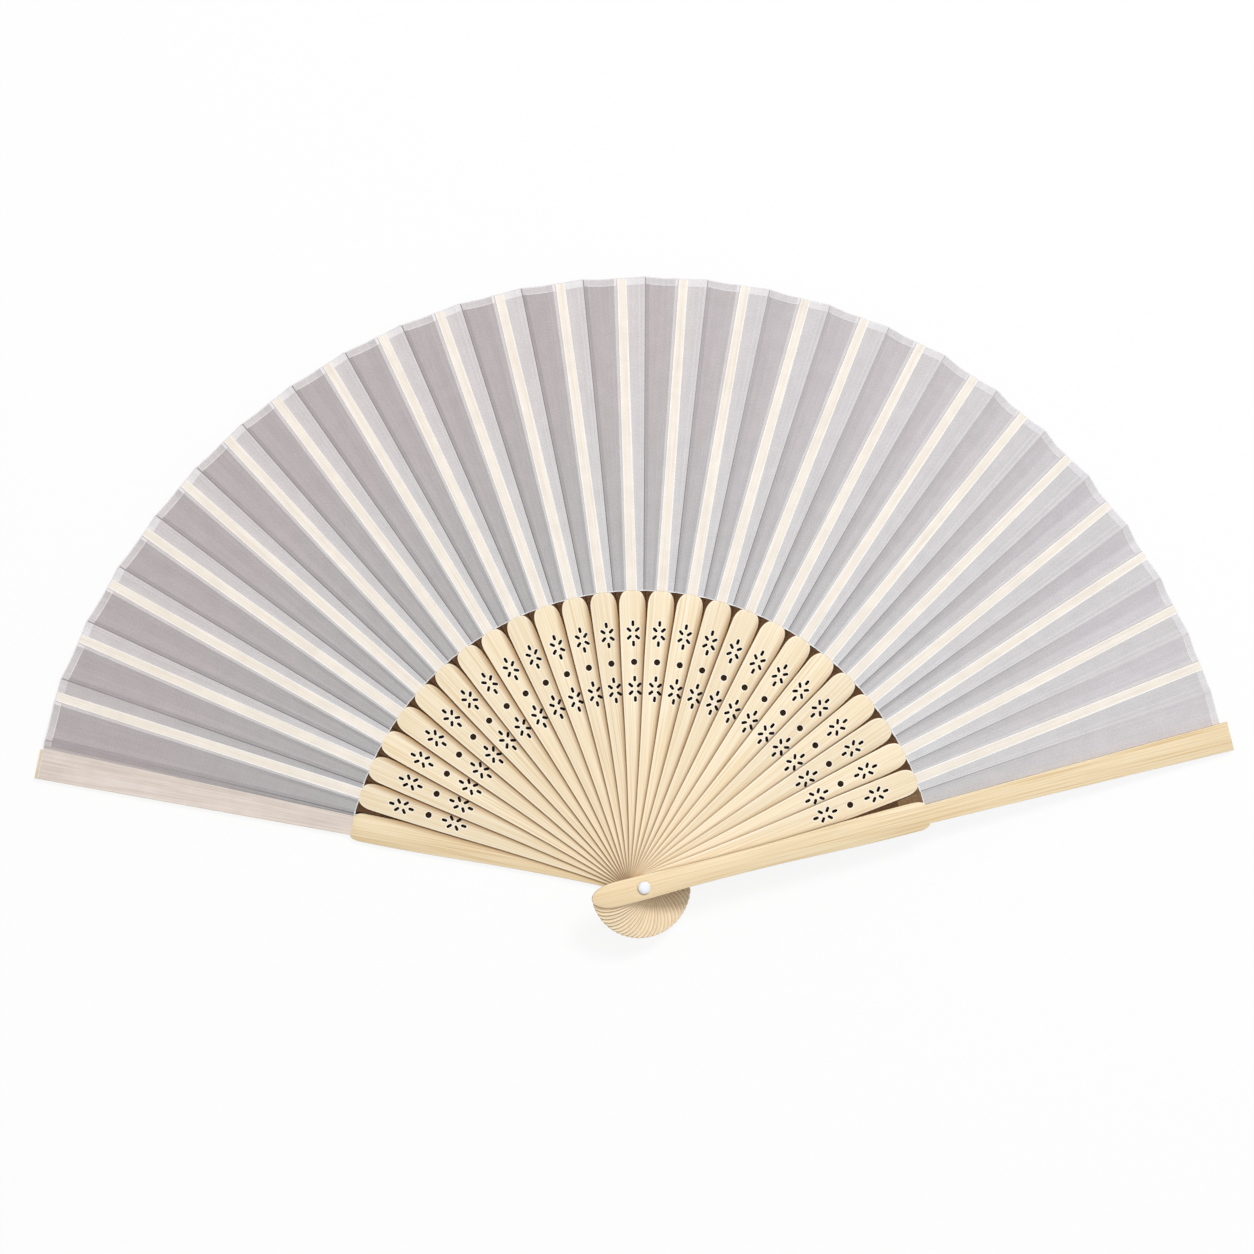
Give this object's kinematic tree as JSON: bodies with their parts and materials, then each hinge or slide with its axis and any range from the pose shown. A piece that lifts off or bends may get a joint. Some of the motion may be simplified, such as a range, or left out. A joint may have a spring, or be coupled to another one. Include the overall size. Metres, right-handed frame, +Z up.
{
  "type": "folding fan",
  "caption": "Hand-held folding fan: pierced bamboo sticks between two plain guards turn on one rivet and fold a pleated silk leaf.",
  "frame": {"origin": "centre of the flat underside of the rivet's back cap, on the surface the open fan lies on", "axes": "+Z up, away from that surface and towards the front guard; +Y up the middle of the open fan, from rivet to leaf; +X to the front guard's side"},
  "size_m": [0.381, 0.2087, 0.0261],
  "materials": {
    "bamboo_stick": "planed and lightly varnished bamboo",
    "bamboo_guard": "planed and lightly varnished bamboo",
    "silk_leaf": "plain woven silk, pale grey",
    "rivet_pearl": "pearl white moulded plastic"
  },
  "bodies": {
    "back_blade": {"guard_back": "bamboo_guard", "rivet_pin": "rivet_pearl", "rivet_cap": "rivet_pearl", "leaf_gore_00": "silk_leaf"},
    "blade_01": {"stick_01": "bamboo_stick", "leaf_gore_01": "silk_leaf"},
    "blade_02": {"stick_02": "bamboo_stick", "leaf_gore_02": "silk_leaf"},
    "blade_03": {"stick_03": "bamboo_stick", "leaf_gore_03": "silk_leaf"},
    "blade_04": {"stick_04": "bamboo_stick", "leaf_gore_04": "silk_leaf"},
    "blade_05": {"stick_05": "bamboo_stick", "leaf_gore_05": "silk_leaf"},
    "blade_06": {"stick_06": "bamboo_stick", "leaf_gore_06": "silk_leaf"},
    "blade_07": {"stick_07": "bamboo_stick", "leaf_gore_07": "silk_leaf"},
    "blade_08": {"stick_08": "bamboo_stick", "leaf_gore_08": "silk_leaf"},
    "blade_09": {"stick_09": "bamboo_stick", "leaf_gore_09": "silk_leaf"},
    "blade_10": {"stick_10": "bamboo_stick", "leaf_gore_10": "silk_leaf"},
    "blade_11": {"stick_11": "bamboo_stick", "leaf_gore_11": "silk_leaf"},
    "blade_12": {"stick_12": "bamboo_stick", "leaf_gore_12": "silk_leaf"},
    "blade_13": {"stick_13": "bamboo_stick", "leaf_gore_13": "silk_leaf"},
    "blade_14": {"stick_14": "bamboo_stick", "leaf_gore_14": "silk_leaf"},
    "blade_15": {"stick_15": "bamboo_stick", "leaf_gore_15": "silk_leaf"},
    "blade_16": {"stick_16": "bamboo_stick", "leaf_gore_16": "silk_leaf"},
    "blade_17": {"stick_17": "bamboo_stick", "leaf_gore_17": "silk_leaf"},
    "blade_18": {"stick_18": "bamboo_stick", "leaf_gore_18": "silk_leaf"},
    "blade_19": {"stick_19": "bamboo_stick", "leaf_gore_19": "silk_leaf"},
    "blade_20": {"stick_20": "bamboo_stick", "leaf_gore_20": "silk_leaf"},
    "blade_21": {"stick_21": "bamboo_stick", "leaf_gore_21": "silk_leaf"},
    "blade_22": {"stick_22": "bamboo_stick", "leaf_gore_22": "silk_leaf"},
    "blade_23": {"stick_23": "bamboo_stick", "leaf_gore_23": "silk_leaf"},
    "blade_24": {"stick_24": "bamboo_stick", "leaf_gore_24": "silk_leaf"},
    "blade_25": {"stick_25": "bamboo_stick", "leaf_gore_25": "silk_leaf"},
    "front_blade": {"guard_front": "bamboo_guard"}
  },
  "joints": [
    {"name": "front_fold", "type": "hinge", "parent": "back_blade", "child": "front_blade", "pos_m": [0, 0, 0], "axis": [0.0557, -0.0123, 0.9984], "range_deg": [0, 155], "deforming": ["leaf_gore_25"]},
    {"name": "fold_01", "type": "hinge", "parent": "back_blade", "child": "blade_01", "pos_m": [0, 0, 0], "axis": [0.0557, -0.0123, 0.9984], "range_deg": [0, 6.61], "deforming": ["leaf_gore_00"]},
    {"name": "fold_02", "type": "hinge", "parent": "back_blade", "child": "blade_02", "pos_m": [0, 0, 0], "axis": [0.0557, -0.0123, 0.9984], "range_deg": [0, 12.49], "deforming": ["leaf_gore_01"]},
    {"name": "fold_03", "type": "hinge", "parent": "back_blade", "child": "blade_03", "pos_m": [0, 0, 0], "axis": [0.0557, -0.0123, 0.9984], "range_deg": [0, 18.38], "deforming": ["leaf_gore_02"]},
    {"name": "fold_04", "type": "hinge", "parent": "back_blade", "child": "blade_04", "pos_m": [0, 0, 0], "axis": [0.0557, -0.0123, 0.9984], "range_deg": [0, 24.26], "deforming": ["leaf_gore_03"]},
    {"name": "fold_05", "type": "hinge", "parent": "back_blade", "child": "blade_05", "pos_m": [0, 0, 0], "axis": [0.0557, -0.0123, 0.9984], "range_deg": [0, 30.14], "deforming": ["leaf_gore_04"]},
    {"name": "fold_06", "type": "hinge", "parent": "back_blade", "child": "blade_06", "pos_m": [0, 0, 0], "axis": [0.0557, -0.0123, 0.9984], "range_deg": [0, 36.03], "deforming": ["leaf_gore_05"]},
    {"name": "fold_07", "type": "hinge", "parent": "back_blade", "child": "blade_07", "pos_m": [0, 0, 0], "axis": [0.0557, -0.0123, 0.9984], "range_deg": [0, 41.91], "deforming": ["leaf_gore_06"]},
    {"name": "fold_08", "type": "hinge", "parent": "back_blade", "child": "blade_08", "pos_m": [0, 0, 0], "axis": [0.0557, -0.0123, 0.9984], "range_deg": [0, 47.79], "deforming": ["leaf_gore_07"]},
    {"name": "fold_09", "type": "hinge", "parent": "back_blade", "child": "blade_09", "pos_m": [0, 0, 0], "axis": [0.0557, -0.0123, 0.9984], "range_deg": [0, 53.68], "deforming": ["leaf_gore_08"]},
    {"name": "fold_10", "type": "hinge", "parent": "back_blade", "child": "blade_10", "pos_m": [0, 0, 0], "axis": [0.0557, -0.0123, 0.9984], "range_deg": [0, 59.56], "deforming": ["leaf_gore_09"]},
    {"name": "fold_11", "type": "hinge", "parent": "back_blade", "child": "blade_11", "pos_m": [0, 0, 0], "axis": [0.0557, -0.0123, 0.9984], "range_deg": [0, 65.44], "deforming": ["leaf_gore_10"]},
    {"name": "fold_12", "type": "hinge", "parent": "back_blade", "child": "blade_12", "pos_m": [0, 0, 0], "axis": [0.0557, -0.0123, 0.9984], "range_deg": [0, 71.33], "deforming": ["leaf_gore_11"]},
    {"name": "fold_13", "type": "hinge", "parent": "back_blade", "child": "blade_13", "pos_m": [0, 0, 0], "axis": [0.0557, -0.0123, 0.9984], "range_deg": [0, 77.21], "deforming": ["leaf_gore_12"]},
    {"name": "fold_14", "type": "hinge", "parent": "back_blade", "child": "blade_14", "pos_m": [0, 0, 0], "axis": [0.0557, -0.0123, 0.9984], "range_deg": [0, 83.09], "deforming": ["leaf_gore_13"]},
    {"name": "fold_15", "type": "hinge", "parent": "back_blade", "child": "blade_15", "pos_m": [0, 0, 0], "axis": [0.0557, -0.0123, 0.9984], "range_deg": [0, 88.98], "deforming": ["leaf_gore_14"]},
    {"name": "fold_16", "type": "hinge", "parent": "back_blade", "child": "blade_16", "pos_m": [0, 0, 0], "axis": [0.0557, -0.0123, 0.9984], "range_deg": [0, 94.86], "deforming": ["leaf_gore_15"]},
    {"name": "fold_17", "type": "hinge", "parent": "back_blade", "child": "blade_17", "pos_m": [0, 0, 0], "axis": [0.0557, -0.0123, 0.9984], "range_deg": [0, 100.74], "deforming": ["leaf_gore_16"]},
    {"name": "fold_18", "type": "hinge", "parent": "back_blade", "child": "blade_18", "pos_m": [0, 0, 0], "axis": [0.0557, -0.0123, 0.9984], "range_deg": [0, 106.63], "deforming": ["leaf_gore_17"]},
    {"name": "fold_19", "type": "hinge", "parent": "back_blade", "child": "blade_19", "pos_m": [0, 0, 0], "axis": [0.0557, -0.0123, 0.9984], "range_deg": [0, 112.51], "deforming": ["leaf_gore_18"]},
    {"name": "fold_20", "type": "hinge", "parent": "back_blade", "child": "blade_20", "pos_m": [0, 0, 0], "axis": [0.0557, -0.0123, 0.9984], "range_deg": [0, 118.39], "deforming": ["leaf_gore_19"]},
    {"name": "fold_21", "type": "hinge", "parent": "back_blade", "child": "blade_21", "pos_m": [0, 0, 0], "axis": [0.0557, -0.0123, 0.9984], "range_deg": [0, 124.28], "deforming": ["leaf_gore_20"]},
    {"name": "fold_22", "type": "hinge", "parent": "back_blade", "child": "blade_22", "pos_m": [0, 0, 0], "axis": [0.0557, -0.0123, 0.9984], "range_deg": [0, 130.16], "deforming": ["leaf_gore_21"]},
    {"name": "fold_23", "type": "hinge", "parent": "back_blade", "child": "blade_23", "pos_m": [0, 0, 0], "axis": [0.0557, -0.0123, 0.9984], "range_deg": [0, 136.04], "deforming": ["leaf_gore_22"]},
    {"name": "fold_24", "type": "hinge", "parent": "back_blade", "child": "blade_24", "pos_m": [0, 0, 0], "axis": [0.0557, -0.0123, 0.9984], "range_deg": [0, 141.93], "deforming": ["leaf_gore_23"]},
    {"name": "fold_25", "type": "hinge", "parent": "back_blade", "child": "blade_25", "pos_m": [0, 0, 0], "axis": [0.0557, -0.0123, 0.9984], "range_deg": [0, 147.81], "deforming": ["leaf_gore_24"]}
  ],
  "couplings": [
    {"joint": "fold_01", "follows": "front_fold", "ratio": 0.042581},
    {"joint": "fold_02", "follows": "front_fold", "ratio": 0.080538},
    {"joint": "fold_03", "follows": "front_fold", "ratio": 0.11849},
    {"joint": "fold_04", "follows": "front_fold", "ratio": 0.15645},
    {"joint": "fold_05", "follows": "front_fold", "ratio": 0.19441},
    {"joint": "fold_06", "follows": "front_fold", "ratio": 0.23237},
    {"joint": "fold_07", "follows": "front_fold", "ratio": 0.27032},
    {"joint": "fold_08", "follows": "front_fold", "ratio": 0.30828},
    {"joint": "fold_09", "follows": "front_fold", "ratio": 0.34624},
    {"joint": "fold_10", "follows": "front_fold", "ratio": 0.38419},
    {"joint": "fold_11", "follows": "front_fold", "ratio": 0.42215},
    {"joint": "fold_12", "follows": "front_fold", "ratio": 0.46011},
    {"joint": "fold_13", "follows": "front_fold", "ratio": 0.49806},
    {"joint": "fold_14", "follows": "front_fold", "ratio": 0.53602},
    {"joint": "fold_15", "follows": "front_fold", "ratio": 0.57398},
    {"joint": "fold_16", "follows": "front_fold", "ratio": 0.61194},
    {"joint": "fold_17", "follows": "front_fold", "ratio": 0.64989},
    {"joint": "fold_18", "follows": "front_fold", "ratio": 0.68785},
    {"joint": "fold_19", "follows": "front_fold", "ratio": 0.72581},
    {"joint": "fold_20", "follows": "front_fold", "ratio": 0.76376},
    {"joint": "fold_21", "follows": "front_fold", "ratio": 0.80172},
    {"joint": "fold_22", "follows": "front_fold", "ratio": 0.83968},
    {"joint": "fold_23", "follows": "front_fold", "ratio": 0.87763},
    {"joint": "fold_24", "follows": "front_fold", "ratio": 0.91559},
    {"joint": "fold_25", "follows": "front_fold", "ratio": 0.95355}
  ]
}
